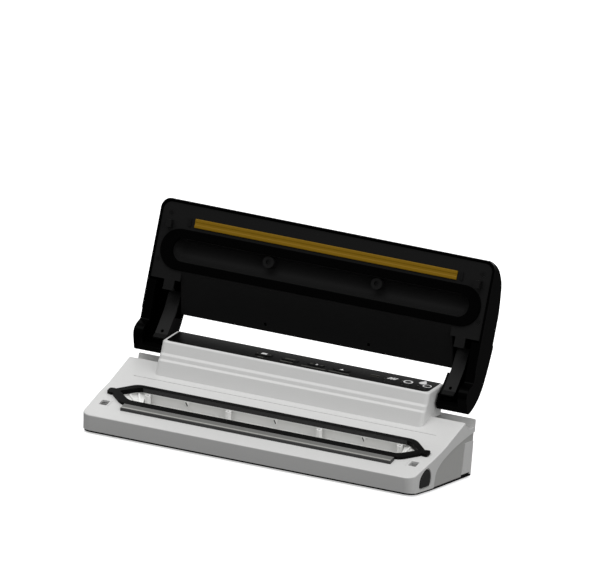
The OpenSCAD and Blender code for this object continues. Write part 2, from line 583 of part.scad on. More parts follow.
// ---------------------------------------------------------------- lid
arm_w = lx - arm_x0;
module lid_edge_trim() {
  // Rounds the free corners and the long side edges of the lid.
  linear_extrude(120, center = true) union() {
    translate([0, -lid_len + 39.4]) rr(lid_w, 80, 11);
    translate([0, -20]) square([lid_w, 120], center = true);
  }
}
module lid_inner_trim() {
  linear_extrude(120, center = true) union() {
    translate([0, -lid_len + 39.4]) rr(lid_w - 2 * lid_wall, 80 - 2 * lid_wall, 11 - lid_wall);
    translate([0, -20]) square([lid_w, 124], center = true);
  }
}
module side_round() {
  rotate([90, 0, 0]) linear_extrude(400, center = true) union() {
    translate([0, -12]) square([lid_w, 46], center = true);
    translate([0, 26.6 - 15]) rr(lid_w, 30.2, 3);
  }
}
module lid_cover() color([0.1, 0.1, 0.1]) standing() lid_frame() difference() {
  union() {
    difference() {
      intersection() {
        along_x(lid_w) polygon(soft(lid_pts(lid_b - 1.2, notch_a), [0, 0, 14, 14, 12, 9, 8, 3, 1]));
        lid_edge_trim();
        side_round();
      }
      intersection() {
        along_x(lid_w - 2 * lid_wall) polygon(inset(lid_pts(-40, 10), lid_wall));
        translate([0, -lid_wall - 0.3, -lid_wall]) side_round();
        lid_inner_trim();
      }
    }
    for (s = [-1, 1]) arm(s);
    // Screw bosses hanging from the skin over the underside panel.
    intersection() {
      along_x(lid_w - 3) polygon(inset(lid_pts(-40, 10), 1.6));
      for (p = lid_screw_xa) translate([p[0], -p[1], lid_b + (abs(p[0]) < 100 ? 13.6 : 2)]) cylinder(d = abs(p[0]) > 172 ? 4.8 : 7, h = 30, $fn = 28);
    }
  }
  for (p = lid_screw_xa) translate([p[0], -p[1], lid_b]) cylinder(d = 2.66, h = abs(p[0]) < 100 ? 19 : 9, $fn = 24);
}
lid_screw_xa = [[-171, 131], [171, 131], [-176, 83], [176, 83], [-59.5, 101], [59.5, 101]];
module arm(s) difference() {
  arm_body(s);
  translate([s * arm_x0, 0, 0]) rotate([0, 90, 0]) cylinder(d = pin_d, h = 26, center = true, $fn = 48);
}
module arm_body(s) {
  cx = s * (arm_x0 + lx) / 2;
  // Back skin.
  translate([cx, 0, 0]) along_x(arm_w) intersection() {
    difference() {
      polygon(soft(arm_pts(), arm_soft));
      polygon(inset(arm_pts(), lid_wall));
    }
    polygon(arm_mask);
  }
  // Outer rim, open towards the middle of the lid.
  translate([s * (lx - 5), 0, 0]) difference() {
    along_x(10) polygon(soft(arm_pts(), arm_soft));
    translate([-s * 2.6, 0, 0]) along_x(10) polygon(inset(arm_pts(), lid_wall));
  }
  // Inner cheek and pin boss.
  translate([s * (arm_x0 + 1.2), 0, 0]) along_x(2.4) intersection() {
    polygon(soft(arm_pts(), arm_soft));
    polygon([[-27, 1.5], [-20, -2], [-9, -8], [-4, -13.6], [20, -16], [20, 30], [-27, 30]]);
  }
  translate([s * (arm_x0 + 6), 0, 0]) rotate([0, 90, 0])
    cylinder(d = 13.4, h = 12, center = true, $fn = 40);
}
arm_soft = [2, 3, 3, 5, 4, 3, 3, 4, 5, 5, 6, 8, 8, 3, 0];
arm_mask = [[-70, 4], [-52, 4], [-30, -2], [-11, -9], [-4, -14], [20, -16], [20, 30], [-70, 30]];
module lid_panel() color([0.13, 0.13, 0.13]) standing() lid_frame() difference() {
  union() {
    difference() {
      panel_body();
      // Gasket groove, trough and pad groove.
      translate([0, -chamber_a, lid_b - 1]) linear_extrude(4.5) difference() {
        rr(351.4, 42, 20.6);
        rr(326, 24, 11.6);
      }
      translate([0, -chamber_a, 0]) trough_solid(11.4);
      translate([0, -bar_a, lid_b + 1]) cube([pad_len + 0.3, pad_w + 0.3, 5.2], center = true);
    }
    for (s = [-1, 1]) translate([s * 59.5, -101, lid_b + 1.5]) cylinder(d = 12, h = 12.1, $fn = 40);
  }
  for (p = lid_screw_xa) translate([p[0], -p[1], lid_b]) {
    translate([0, 0, -5]) cylinder(d = 3.2, h = 30, $fn = 24);
    translate([0, 0, -5]) cylinder(d = 5.4, h = abs(p[0]) < 100 ? 9.4 : 6.2, $fn = 32);
  }
  for (s = [-1, 1]) translate([s * hook_x, -hook_a, lid_b + 1]) cube([5, 8, 10], center = true);
  for (s = [-1, 1]) translate([s * (pad_len / 2 + 5.4), -bar_a, lid_b]) cube([2.6, 8.6, 2.6], center = true);
  for (x = [-56.8, 56.8]) translate([x, -38.6, 0]) cylinder(d = 3.4, h = 40, center = true, $fn = 24);
  // The corners follow the rounded free corners of the cover.
  for (s = [-1, 1]) translate([s * (lx - lid_wall - 0.2), -lid_len + lid_wall + 0.6, 0])
    linear_extrude(30, center = true) mirror([s < 0 ? 1 : 0, 0]) difference() {
      translate([-9, -3]) square([12, 12]);
      translate([-9, 9]) circle(9, $fn = 48);
    }
}
module panel_body() {
  along_x(lid_w - 2 * lid_wall - 0.2)
    polygon([[-lid_len + lid_wall + 0.6, lid_b], [-ridge_a, lid_b], [-ridge_a, lid_b + 2],
      [-lid_len + lid_wall + 0.6, lid_b + 2]]);
  for (s = [-1, 1]) translate([s * (arm_x0 - 0.6 + lx - lid_wall - 0.1) / 2, -(ridge_a + 64.5) / 2, lid_b + 1])
    cube([lx - lid_wall - arm_x0 + 0.5, ridge_a - 64.3, 2], center = true);
  along_x(2 * arm_x0) polygon([[-ridge_a - 0.1, lid_b], [-notch_a - 0.4, 13.2], [-notch_a - 0.4, 14.9],
    [-37, 15], [-ridge_a - 0.1, lid_b + 2.4]]);
  translate([0, -chamber_a, 0]) {
    translate([0, 0, lid_b + 0.1]) linear_extrude(5.4) difference() {
      rr(353.6, 44.6, 21.9);
      rr(322, 20.5, 10);
    }
    trough_solid(13.4);
  }
  translate([0, -bar_a, lid_b + 3]) cube([pad_len + 5, pad_w + 4, 5.6], center = true);
  for (s = [-1, 1]) {
    translate([s * 160, -55, lid_b + 2]) cube([11, 2, 6], center = true);
    translate([s * 160, -60, lid_b + 1]) cube([11, 12, 2], center = true);
  }
}
module trough_solid(r) {
  // Rounded trough: a half round pushed along X with round ends.
  intersection() {
    union() {
      translate([0, 0, lid_b]) rotate([0, 90, 0]) cylinder(r = r, h = 306, center = true, $fn = 64);
      for (s = [-1, 1]) translate([s * 153, 0, lid_b]) sphere(r = r, $fn = 64);
    }
    translate([0, 0, lid_b + 20 - 0.01]) cube([400, 60, 40], center = true);
  }
}
module upper_gasket() color([0.03, 0.03, 0.03]) standing() lid_frame() translate([0, -chamber_a, lid_b - 2.1])
  linear_extrude(5.6) difference() {
    rr(351.3, 41.9, 20.55);
    rr(326.1, 24.1, 11.65);
  }
module seal_pad() color("goldenrod") standing() lid_frame() translate([0, -bar_a, lid_b]) along_x(pad_len)
  polygon([[-pad_w / 2, 3.6], [-pad_w / 2, -1.1], [-pad_w / 2 + 0.6, -1.5], [-1.6, -1.5], [-1.2, -1.1], [1.2, -1.1],
    [1.6, -1.5], [pad_w / 2 - 0.6, -1.5], [pad_w / 2, -1.1], [pad_w / 2, 3.6]]);
module lid_hooks() color("gray") standing() lid_frame() for (s = [-1, 1]) translate([s * hook_x, -hook_a, 0]) {
  translate([0, 0, lid_b - 2.2]) cube([5, 8, 12.4], center = true);
  translate([-s * 2.8, 0, lid_b - 7.4]) cube([0.8, 8, 2], center = true);
}
module lid_bumpers() color("black") standing() lid_frame() for (s = [-1, 1]) {
  translate([s * (pad_len / 2 + 5.4), -bar_a, lid_b]) cube([2.6, 8.6, 2.6], center = true);
}
module lid_braces() color("dimgray") standing() lid_frame() for (s = [-1, 1]) translate([s * (arm_x0 + 9.2), 0, 0])
  difference() {
  along_x(13.6) polygon([[-54, 11], [-50, 8.6], [-34, 5], [-20, -2], [-9, -8], [-5, -12.6], [-3.6, -11.2],
    [-7.6, -6.4], [-19, 0], [-33, 7.2], [-49, 10.8], [-53, 13]]);
  translate([0, -12, 0]) cylinder(d = 3.2, h = 30, center = true, $fn = 20);
}
module lid_screws() color("silver") standing() lid_frame() {
  for (p = lid_screw_xa) translate([p[0], -p[1], lid_b + (abs(p[0]) < 100 ? 4.4 : 1.2)])
    screw(2.65, abs(p[0]) < 100 ? 14 : 6.6, 5);
}
module hinge_pins() color("silver") standing() translate([0, hinge_y, hinge_z]) for (s = [-1, 1]) {
  translate([s * (console_x + 4), 0, 0]) rotate([0, 90, 0]) cylinder(d = pin_d, h = 20.4, center = true, $fn = 48);
  translate([s * (console_x - 6.2), 0, 0]) rotate([0, 90, 0]) cylinder(d = 8.6, h = 1.6, center = true, $fn = 40);
}

upper_housing();
bottom_cover();
rubber_feet();
housing_screws();
chamber_tray();
chamber_end_inserts();
lower_gasket();
sealing_bar();
heating_wire();
ptfe_tape();
wire_terminals();
control_panel();
panel_graphics();
key_1();
key_2();
key_3();
key_4();
control_board();
key_switches();
status_lamps();
power_board();
board_parts();
transformer_core();
transformer_winding();
pump_motor();
pump_housing();
pump_head();
pump_crank();
pump_diaphragm();
pump_mounts();
vacuum_hose();
release_valve();
lid_switch();
power_inlet();
inlet_pins();
release_button_left();
release_button_right();
latch_plate_left();
latch_plate_right();
release_spring_left();
release_spring_right();
lid_cover();
lid_panel();
upper_gasket();
seal_pad();
lid_hooks();
lid_bumpers();
lid_braces();
lid_screws();
hinge_pins();
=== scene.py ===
import json
import math
import bmesh
import bpy
from mathutils import Matrix, Vector


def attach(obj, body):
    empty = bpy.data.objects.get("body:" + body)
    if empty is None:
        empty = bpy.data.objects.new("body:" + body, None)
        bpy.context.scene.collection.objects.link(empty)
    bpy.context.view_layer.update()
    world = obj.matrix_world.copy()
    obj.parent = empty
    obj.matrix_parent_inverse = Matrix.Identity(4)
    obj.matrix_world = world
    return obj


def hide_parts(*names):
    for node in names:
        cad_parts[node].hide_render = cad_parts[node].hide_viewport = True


# A household vacuum sealer with its lid open: a light grey wedge body with a stepped console at the back, a sunk
# vacuum chamber inside a gasket, a seal bar in front of it, and a black lid on two hinge arms.
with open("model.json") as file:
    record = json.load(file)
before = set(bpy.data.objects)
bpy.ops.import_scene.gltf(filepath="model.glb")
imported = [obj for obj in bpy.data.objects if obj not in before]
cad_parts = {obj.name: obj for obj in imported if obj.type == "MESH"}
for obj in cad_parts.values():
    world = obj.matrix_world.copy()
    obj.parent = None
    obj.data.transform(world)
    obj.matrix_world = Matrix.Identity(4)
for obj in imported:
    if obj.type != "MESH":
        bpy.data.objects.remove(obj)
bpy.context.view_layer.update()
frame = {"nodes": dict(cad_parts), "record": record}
nodes = frame["nodes"]

# ---------------------------------------------------------------- sizes
# Millimetres and degrees. X runs across the body, Y to the back and Z up from the feet. Shapes are made with the hinge
# axis at HINGE_Y, and place() takes MID_Y off, so that the origin is the middle of the underside.
MM = 0.001
MID_Y = 12.0
HINGE_Y, HINGE_Z = 62.3, 76.7
WALL = 2.6
HALF, HALF_FRONT = 185.0, 182.0  # half of the body's width at the back and at the front
TAPER_FROM, TAPER_TO = -28.0, -90.0  # the sides draw in between these two places
LOW = 3.4  # lower edge of the grey body, above the bottom cover's rim
FRONT_Y, FRONT_H = -80.2, 20.3  # front edge of the deck
FRONT_FOOT, FRONT_LEAN = (-74.0, 1.6), 0.3307  # the front wall leans forward as it rises
REAR_LEAN = 0.08  # and so does the back wall
DECK_TILT, REAR_TILT = 16.0, 21.4  # the deck steepens behind the kink
KINK_Y, SLOPE_END_Y = -3.9, 43.5
LIP_Y, LIP_Z = 69.1, 61.0  # back lip behind the hinge cradles
CRADLE_R = 25.0
SIDE_FLOOR = 183.7  # floor of the arched recess in each side wall
CONSOLE_X, CONSOLE_H = 147.0, 90.6  # half of the console's width, and the height of its back edge
TOP_TILT, TOP_Y = 6.4, 31.0
# Front wall of the console from its foot up, as (height, place): two soft steps with a fine ledge on each.
CONSOLE_SIDE = [(36, 19.4), (51, 20.8), (65.8, 23.2), (66.8, 23.6), (68.2, 25.4), (69.1, 25.8), (71.7, 26.3),
                (72.6, 26.7), (74.0, 28.3), (75.0, 28.7), (85.9, 30.95)]
# Outline of a release button about its own middle, and that middle as (place, height).
BUTTON, BUTTON_AT = [(-12.6, -9), (12.6, -9), (13, 1), (5, 9.6), (-4, 8), (-13, 1)], (-47.5, 16.3)
INK = 0.05  # thickness of the printed marks

KINK_Z = FRONT_H + (KINK_Y - FRONT_Y) * math.tan(math.radians(DECK_TILT))
SLOPE_END = (SLOPE_END_Y, KINK_Z + (SLOPE_END_Y - KINK_Y) * math.tan(math.radians(REAR_TILT)))
TOP_Z = CONSOLE_H - 38 * math.tan(math.radians(TOP_TILT))

# The deck's own frame starts at the hinge: its surface lies at height DECK_B, and _A is how far forward a thing lies.
st, ct = math.sin(math.radians(DECK_TILT)), math.cos(math.radians(DECK_TILT))
DECK_B = -st * (FRONT_Y - HINGE_Y) + ct * (FRONT_H - HINGE_Z)
FRONT_A = -ct * (FRONT_Y - HINGE_Y) - st * (FRONT_H - HINGE_Z)
CHAMBER_A, BAR_A, HOOK_A = FRONT_A - 56.3, FRONT_A - 27.4, FRONT_A - 32.2
DECK = Matrix.Translation((0, HINGE_Y, HINGE_Z)) @ Matrix.Rotation(math.radians(DECK_TILT), 4, "X")
TOP = Matrix.Translation((0, TOP_Y, TOP_Z)) @ Matrix.Rotation(math.radians(TOP_TILT), 4, "X")
MIRROR = Matrix.Scale(-1, 4, (1, 0, 0))


# ---------------------------------------------------------------- camera, floor and light
def camera():
    """A far view without perspective, from the right of the front and a little above."""
    right, up = Vector((0.9188, 0.3778, 0.1162)), Vector((-0.1828, 0.1444, 0.9727))
    back = Vector((0.3507, -0.9149, 0.2018))
    data = bpy.data.cameras.new("view")
    data.type, data.ortho_scale = "ORTHO", 0.604
    data.clip_start, data.clip_end = 0.01, 20
    cam = bpy.data.objects.new("view", data)
    spot = right * 0.02535 + up * 0.1688 + back * 1.6 - Vector((0, MID_Y * MM, 0))
    turn = Matrix((right, up, back)).transposed().to_4x4()
    cam.matrix_world = Matrix.Translation(spot) @ turn
    bpy.context.scene.collection.objects.link(cam)
    bpy.context.scene.camera = cam


def put_node(tree, kind, settings=None, links=None):
    """Adds a node with its settings and its incoming links {socket: (node, output)}."""
    n = tree.nodes.new(kind)
    for k, v in (settings or {}).items():
        if isinstance(k, str) and hasattr(n, k) and k not in n.inputs:
            setattr(n, k, v)
        else:
            n.inputs[k].default_value = v
    for k, (src, out) in (links or {}).items():
        tree.links.new(src.outputs[out], n.inputs[k])
    return n


def hexa(code):
    """sRGB hex to linear RGBA."""
    rgb = [int(code[i:i + 2], 16) / 255 for i in (0, 2, 4)]
    return tuple(c / 12.92 if c <= 0.04045 else ((c + 0.055) / 1.055) ** 2.4 for c in rgb) + (1.0,)


def empty_tree(owner):
    owner.use_nodes = True
    owner.node_tree.nodes.clear()
    return owner.node_tree


def in_view(tree):
    """The light path, and where the camera looks straight on or through something clear."""
    path = put_node(tree, "ShaderNodeLightPath")
    rays = {0: (path, "Is Camera Ray"), 1: (path, "Is Transmission Ray")}
    return path, put_node(tree, "ShaderNodeMath", {"operation": "MAXIMUM"}, rays)


def backdrop():
    """White to the camera, mid grey as light, and darker in reflections so that the black parts stay black."""
    world = bpy.data.worlds.new("studio")
    bpy.context.scene.world = world
    t = empty_tree(world)
    path, seen = in_view(t)
    level = put_node(t, "ShaderNodeMapRange", {"To Min": 0.58, "To Max": 1.0}, {"Value": (seen, 0)})
    level = put_node(t, "ShaderNodeMath", {"operation": "MULTIPLY_ADD", 1: -0.3},
                     {0: (path, "Is Glossy Ray"), 2: (level, 0)})
    sky = put_node(t, "ShaderNodeBackground", {"Color": (1, 1, 1, 1)}, {"Strength": (level, 0)})
    put_node(t, "ShaderNodeOutputWorld", None, {"Surface": (sky, 0)})


def paper_floor():
    """Seamless studio paper: pale to the camera with the shadow left on it, dim to every other ray."""
    mat = bpy.data.materials.new("studio_floor_paper")
    t = empty_tree(mat)
    path, seen = in_view(t)
    pale = put_node(t, "ShaderNodeBsdfDiffuse", {"Color": hexa("F4F4F4")})
    dim = put_node(t, "ShaderNodeBsdfDiffuse", {"Color": hexa("5A5A5A")})
    glow = put_node(t, "ShaderNodeEmission", {"Color": (1, 1, 1, 1), "Strength": 0.5})
    lit = put_node(t, "ShaderNodeAddShader", None, {0: (pale, 0), 1: (glow, 0)})
    mix = put_node(t, "ShaderNodeMixShader", None, {0: (seen, 0), 1: (dim, 0), 2: (lit, 0)})
    put_node(t, "ShaderNodeOutputMaterial", None, {"Surface": (mix, 0)})
    bm = bmesh.new()
    bmesh.ops.create_grid(bm, x_segments=1, y_segments=1, size=9)
    me = bpy.data.meshes.new("floor")
    bm.to_mesh(me)
    bm.free()
    me.materials.append(mat)
    floor = bpy.data.objects.new("floor", me)
    bpy.context.scene.collection.objects.link(floor)


def skylights():
    """Three wide soft lights: overhead for the deck, a weaker one for the right side, a weak one for the back."""
    for name, way, level, spread in (
        ("front_sky", (-0.12, -0.38, 0.9), 1.2, 50),
        ("right_sky", (0.85, -0.35, 0.36), 0.66, 50),
        ("rear_sky", (-0.35, 0.85, 0.40), 0.45, 60),
    ):
        lamp = bpy.data.lights.new(name, "SUN")
        lamp.energy, lamp.angle = level, math.radians(spread)
        ob = bpy.data.objects.new(name, lamp)
        ob.matrix_world = Vector(way).to_track_quat("Z", "Y").to_matrix().to_4x4()
        bpy.context.scene.collection.objects.link(ob)


# ---------------------------------------------------------------- finishes
FINISHES = {}
CLOUD = 38  # size in mm of the slow drift in a moulding's colour


def finish(name, colour, rough, *, grain=0.4, depth=0.0, mottle=0.04, metallic=0.0, spec=0.5, vary=0.05,
           stretch=(1, 1, 1), kind="noise"):
    """A surface with its grain size and height in mm. mottle and vary say how far colour and roughness wander."""
    mat = FINISHES[name] = bpy.data.materials.new(name)
    t = empty_tree(mat)
    where = put_node(t, "ShaderNodeTexCoord")
    lie = put_node(t, "ShaderNodeMapping", {"Scale": stretch}, {0: (where, "Object")})
    fine = put_node(t, "ShaderNodeTexNoise", {"Scale": 1000 / grain, "Detail": 2.0}, {"Vector": (lie, 0)})
    cloud = put_node(t, "ShaderNodeTexNoise", {"Scale": 1000 / CLOUD, "Detail": 3.0}, {"Vector": (lie, 0)})
    dark, light = [tuple(min(1, c * k) for c in hexa(colour)[:3]) + (1,) for k in (1 - mottle, 1 + mottle)]
    tone = put_node(t, "ShaderNodeMix", {"data_type": "RGBA", 6: dark, 7: light}, {0: (cloud, 0)})
    sheen = put_node(t, "ShaderNodeMapRange", {"To Min": max(0.02, rough - vary), "To Max": min(1, rough + vary)},
                     {"Value": (fine, 0)})
    skin = put_node(t, "ShaderNodeBsdfPrincipled", {"Metallic": metallic, "Specular IOR Level": spec},
                    {"Base Color": (tone, 2), "Roughness": (sheen, 0)})
    put_node(t, "ShaderNodeOutputMaterial", None, {"Surface": (skin, 0)})
    relief = fine
    if kind == "cells":
        relief = put_node(t, "ShaderNodeTexVoronoi", {"Scale": 1000 / grain}, {"Vector": (lie, 0)})
    if kind == "weave":
        warp, weft = [put_node(t, "ShaderNodeTexWave", {"bands_direction": d, "Scale": 1000 / grain / 20 * math.pi},
                               {"Vector": (where, "Object")}) for d in "XY"]
        relief = put_node(t, "ShaderNodeMath", {"operation": "MULTIPLY"}, {0: (warp, 1), 1: (weft, 1)})
    bump = put_node(t, "ShaderNodeBump", {"Strength": 0.6, "Distance": depth * MM}, {"Height": (relief, 0)})
    t.links.new(bump.outputs[0], skin.inputs["Normal"])


# Moulded ABS, light grey, spark-eroded tool: an even satin body colour with a faint flow clouding.
finish("abs_light_grey_moulded", "D6D6D5", 0.42, grain=0.5, depth=0.012, mottle=0.018)
# Moulded ABS, charcoal, coarse spark grain: dull dark grey of the inlet and the switches.
finish("abs_charcoal_moulded", "1B1B1B", 0.55, grain=0.6, depth=0.03, spec=0.3)
# Moulded ABS, black, unpolished tool: the underside, seen only as a dark line below the body.
finish("abs_black_dull", "0A0A0A", 0.6, grain=0.6, depth=0.03, spec=0.1)
# Moulded ABS, light grey, heavy spark texture, coloured a tone darker than the body: painted shade for the floor of
# each side recess.
finish("abs_grey_recess_shade", "B0B0AE", 0.6, grain=0.7, depth=0.05, mottle=0.02, spec=0.3)
# Moulded ABS, pale grey, polished tool: slightly glossy walls of the chamber tray.
finish("abs_mid_grey_moulded", "E8E8E6", 0.34, grain=0.7, depth=0.01, mottle=0.03)
# Moulded ABS, white, polished tool: bright glints on the ribs at the chamber's ends.
finish("abs_white_gloss", "F2F2F0", 0.22, grain=1.2, depth=0.008, mottle=0.01)
# Moulded ABS, black, mirror tool: the lid's outer skin, deep black with thin bright edges.
finish("abs_black_polished", "020202", 0.22, grain=3.0, depth=0.004, spec=0.02, vary=0.03)
# Moulded ABS, black, fine even grain: the lid's inner panel, a soft charcoal that keeps its bosses readable.
finish("abs_black_satin", "1A1A1A", 0.5, grain=0.45, depth=0.02, spec=0.06)
# Moulded nylon, dark grey: the buttons, a little chalky.
finish("nylon_dark_grey", "2A2A2A", 0.42, grain=0.5, depth=0.02, spec=0.2)
# Moulded nylon, near black: lid braces and hooks, just told apart from the panel.
finish("nylon_near_black", "141414", 0.44, grain=0.5, depth=0.02, spec=0.12)
# Closed-cell foam rubber, split: open cells that give nearly no reflection.
finish("foam_rubber_black", "030303", 0.9, grain=0.9, depth=0.10, spec=0.02, kind="cells")
# Moulded foam rubber with its skin on: a soft sheen on the walls that face the light.
finish("rubber_gasket_skinned", "050505", 0.5, grain=0.9, depth=0.04, spec=0.07)
# Gasket rubber in dark grey: a painted sheen on the gasket's far inner face, which faces the light.
finish("rubber_gasket_painted_sheen", "333333", 0.55, grain=0.6, depth=0.02, spec=0.2)
# Extruded silicone, amber: a dull gold strip with fine lengthwise die lines.
finish("silicone_amber_extruded", "80610A", 0.4, grain=0.9, depth=0.06, stretch=(0.02, 1, 1), spec=0.12, mottle=0.1)
# Woven glass cloth coated in PTFE: a waxy mid grey with a fine plain weave.
finish("ptfe_glass_cloth", "6E6E6C", 0.5, grain=0.8, depth=0.03, kind="weave")
# The same cloth in a pale tone along the bar's near edge: a painted highlight where the rounded edge catches the
# light.
finish("ptfe_cloth_painted_glint", "A6A6A2", 0.35, grain=0.8, depth=0.01)
# Pressed phenolic: the seal bar's body, a warm dark grey.
finish("phenolic_bar_grey", "2E2E2E", 0.5, grain=0.6, depth=0.02)
# Drawn resistance strip: bright flat wire with lengthwise draw lines.
finish("resistance_strip_drawn", "B4B4B0", 0.3, grain=0.3, depth=0.01, stretch=(0.03, 1, 1), metallic=1.0)
# Zinc plated steel: cool bright grey of screws, springs and the motor's case.
finish("steel_zinc_plated", "A8A8A4", 0.32, grain=0.5, depth=0.01, metallic=1.0)
# Black oxide steel: lid screws with a faint metal edge.
finish("steel_black_oxide", "262626", 0.4, grain=0.5, depth=0.01, metallic=0.9)
# Turned steel: pins and crank with fine rings.
finish("steel_turned", "B9B9B9", 0.24, grain=0.25, depth=0.008, stretch=(1, 0.1, 0.1), metallic=1.0)
# Moulded rubber, matte black: feet and mounts without any shine.
finish("rubber_moulded_matte", "0B0B0B", 0.8, grain=0.5, depth=0.03, spec=0.2)
# Extruded silicone tube: milky white.
finish("silicone_tube_milky", "C9C9C2", 0.4, grain=1.0, depth=0.01)
# Cast acrylic printed black on its back: the control panel, flat and glassy.
finish("acrylic_panel_black", "070707", 0.34, grain=3.0, depth=0.002, spec=0.04, vary=0.03)
# Screen print in four greys: pale, mid for the bars below the keys, light for the lit marks, dim and nearly lost.
finish("screen_print_grey", "C8C8C8", 0.5, grain=0.4, depth=0.01)
finish("screen_print_mid", "74746E", 0.5, grain=0.4, depth=0.01)
finish("screen_print_light", "E8E8E8", 0.45, grain=0.4, depth=0.008)
finish("screen_print_dim", "3E3E38", 0.5, grain=0.4, depth=0.01)
# Stamped brass: warm contacts and pins.
finish("brass_stamped", "B08D46", 0.3, grain=0.6, depth=0.01, metallic=1.0)
# Glass-epoxy laminate: green board with the cloth showing through.
finish("board_glass_epoxy", "0E4A26", 0.4, grain=0.5, depth=0.01, kind="weave")
# Paper-phenolic laminate: plain brown board.
finish("board_paper_phenolic", "8A6438", 0.5, grain=0.8, depth=0.01)
# Shrunk PVC sleeve: dark blue capacitors and relay.
finish("pvc_sleeve_blue", "1B2A5A", 0.35, grain=0.8, depth=0.01)
# Varnished iron sheet: grey core with the lines of its stack.
finish("iron_laminated_varnished", "4A4C50", 0.45, grain=0.5, depth=0.04, stretch=(0.05, 0.05, 1), metallic=0.6)
# Wound polyester tape over copper: amber bands.
finish("winding_tape_amber", "9A6A1E", 0.4, grain=0.8, depth=0.02, stretch=(1, 0.1, 1))
# Cast epoxy, smoked: unlit lamps.
finish("lamp_smoked_epoxy", "3A3930", 0.3, grain=1.0, depth=0.004, spec=0.2)

WORN_BY = {
    "abs_light_grey_moulded": "upper_housing latch_plate_left latch_plate_right",
    "abs_charcoal_moulded": "key_switches lid_switch power_inlet",
    "abs_black_dull": "bottom_cover",
    "abs_mid_grey_moulded": "chamber_tray",
    "abs_white_gloss": "chamber_end_inserts",
    "abs_black_polished": "lid_cover",
    "abs_black_satin": "lid_panel",
    "nylon_dark_grey": "pump_housing pump_head release_valve release_button_left release_button_right",
    "nylon_near_black": "lid_hooks lid_braces",
    "foam_rubber_black": "upper_gasket",
    "rubber_gasket_skinned": "lower_gasket",
    "silicone_amber_extruded": "seal_pad",
    "ptfe_glass_cloth": "ptfe_tape",
    "phenolic_bar_grey": "sealing_bar",
    "resistance_strip_drawn": "heating_wire",
    "steel_zinc_plated": "housing_screws pump_motor release_spring_left release_spring_right",
    "steel_black_oxide": "lid_screws",
    "steel_turned": "pump_crank hinge_pins",
    "rubber_moulded_matte": "rubber_feet pump_diaphragm pump_mounts lid_bumpers",
    "silicone_tube_milky": "vacuum_hose",
    "acrylic_panel_black": "control_panel key_1 key_2 key_3 key_4",
    "screen_print_grey": "panel_graphics",
    "brass_stamped": "wire_terminals inlet_pins",
    "board_glass_epoxy": "control_board",
    "board_paper_phenolic": "power_board",
    "pvc_sleeve_blue": "board_parts",
    "iron_laminated_varnished": "transformer_core",
    "winding_tape_amber": "transformer_winding",
    "lamp_smoked_epoxy": "status_lamps",
}
NODE_FINISH = {node: name for name, members in WORN_BY.items() for node in members.split()}
for n, o in nodes.items():
    o.data.materials.clear()
    o.data.materials.append(FINISHES[NODE_FINISH[n]])
BODY = {n: b for b, members in frame["record"]["behaviour"]["bodies"].items() for n in members}


# ---------------------------------------------------------------- from shapes to pieces
def dress(ob, sharp, bevel, segments):
    """Smooth faces with edges over sharp degrees kept, and those edges rounded by bevel millimetres."""
    for p in ob.data.polygons:
        p.use_smooth = True
    ob.data.set_sharp_from_angle(angle=math.radians(sharp))
    if bevel:
        mod = ob.modifiers.new("edge", "BEVEL")
        mod.limit_method, mod.angle_limit = "ANGLE", math.radians(sharp)
        mod.width, mod.segments, mod.profile = bevel * MM, segments, 0.5
        mod.use_clamp_overlap, mod.miter_outer = True, "MITER_ARC"
        mod.harden_normals = False
    w = ob.modifiers.new("normals", "WEIGHTED_NORMAL")
    w.keep_sharp = True
    w.weight = 60


def place(bm, name, body, mat, *stands_for, slot=None, sharp=32, bevel=0.0, segments=2):
    """Turns a millimetre bmesh, hinge axis at HINGE_Y, into a finished piece on its body."""
    bmesh.ops.translate(bm, vec=(0, -MID_Y, 0), verts=bm.verts)
    bmesh.ops.scale(bm, vec=(MM, MM, MM), verts=bm.verts)
    me = bpy.data.meshes.new(name)
    bm.to_mesh(me)
    bm.free()
    me.materials.append(FINISHES[mat])
    ob = bpy.data.objects.new(name, me)
    bpy.context.scene.collection.objects.link(ob)
    dress(ob, sharp, bevel, segments)
    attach(ob, body)
    if stands_for:
        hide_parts(*stands_for)
    return ob


def from_cad(node, bevel, segments=2):
    """A copy of a CAD node's mesh, merged, with its flats joined and its edges rounded."""
    bm = bmesh.new()
    bm.from_mesh(nodes[node].data)
    bmesh.ops.scale(bm, vec=(1 / MM,) * 3, verts=bm.verts)
    bmesh.ops.translate(bm, vec=(0, MID_Y, 0), verts=bm.verts)
    bmesh.ops.remove_doubles(bm, verts=bm.verts, dist=0.002)
    bmesh.ops.dissolve_limit(bm, angle_limit=math.radians(0.4), verts=bm.verts, edges=bm.edges)
    place(bm, node + "_piece", BODY[node], NODE_FINISH[node], node, bevel=bevel, segments=segments)


# ---------------------------------------------------------------- making shapes, in millimetres
def flat(points, lies=Matrix.Identity(4), rounds=(), steps=8):
    """A flat outline in local X-Y with rounded corners; rounds is [(radius, corner numbers)]."""
    bm = bmesh.new()
    vs = [bm.verts.new((x, y, 0)) for x, y in points]
    bm.faces.new(vs)
    for r, which in rounds:
        live = [v for k, v in enumerate(vs) if k in which and v.is_valid]
        bmesh.ops.bevel(bm, geom=live, offset=r, segments=steps, profile=0.5, affect="VERTICES", material=-1,
                        clamp_overlap=True)
    bm.transform(lies)
    return bm


def push(bm, way):
    """Extrudes everything along a vector into a closed solid."""
    got = bmesh.ops.extrude_face_region(bm, geom=bm.faces[:])
    bmesh.ops.translate(bm, vec=way, verts=[g for g in got["geom"] if isinstance(g, bmesh.types.BMVert)])
    bmesh.ops.recalc_face_normals(bm, faces=bm.faces)
    return bm


def plate(points, z0, z1, rounds=(), steps=8):
    """An outline in X-Y pushed up from z0 to z1."""
    bm = flat(points, Matrix.Translation((0, 0, z0)), rounds, steps)
    return push(bm, (0, 0, z1 - z0))


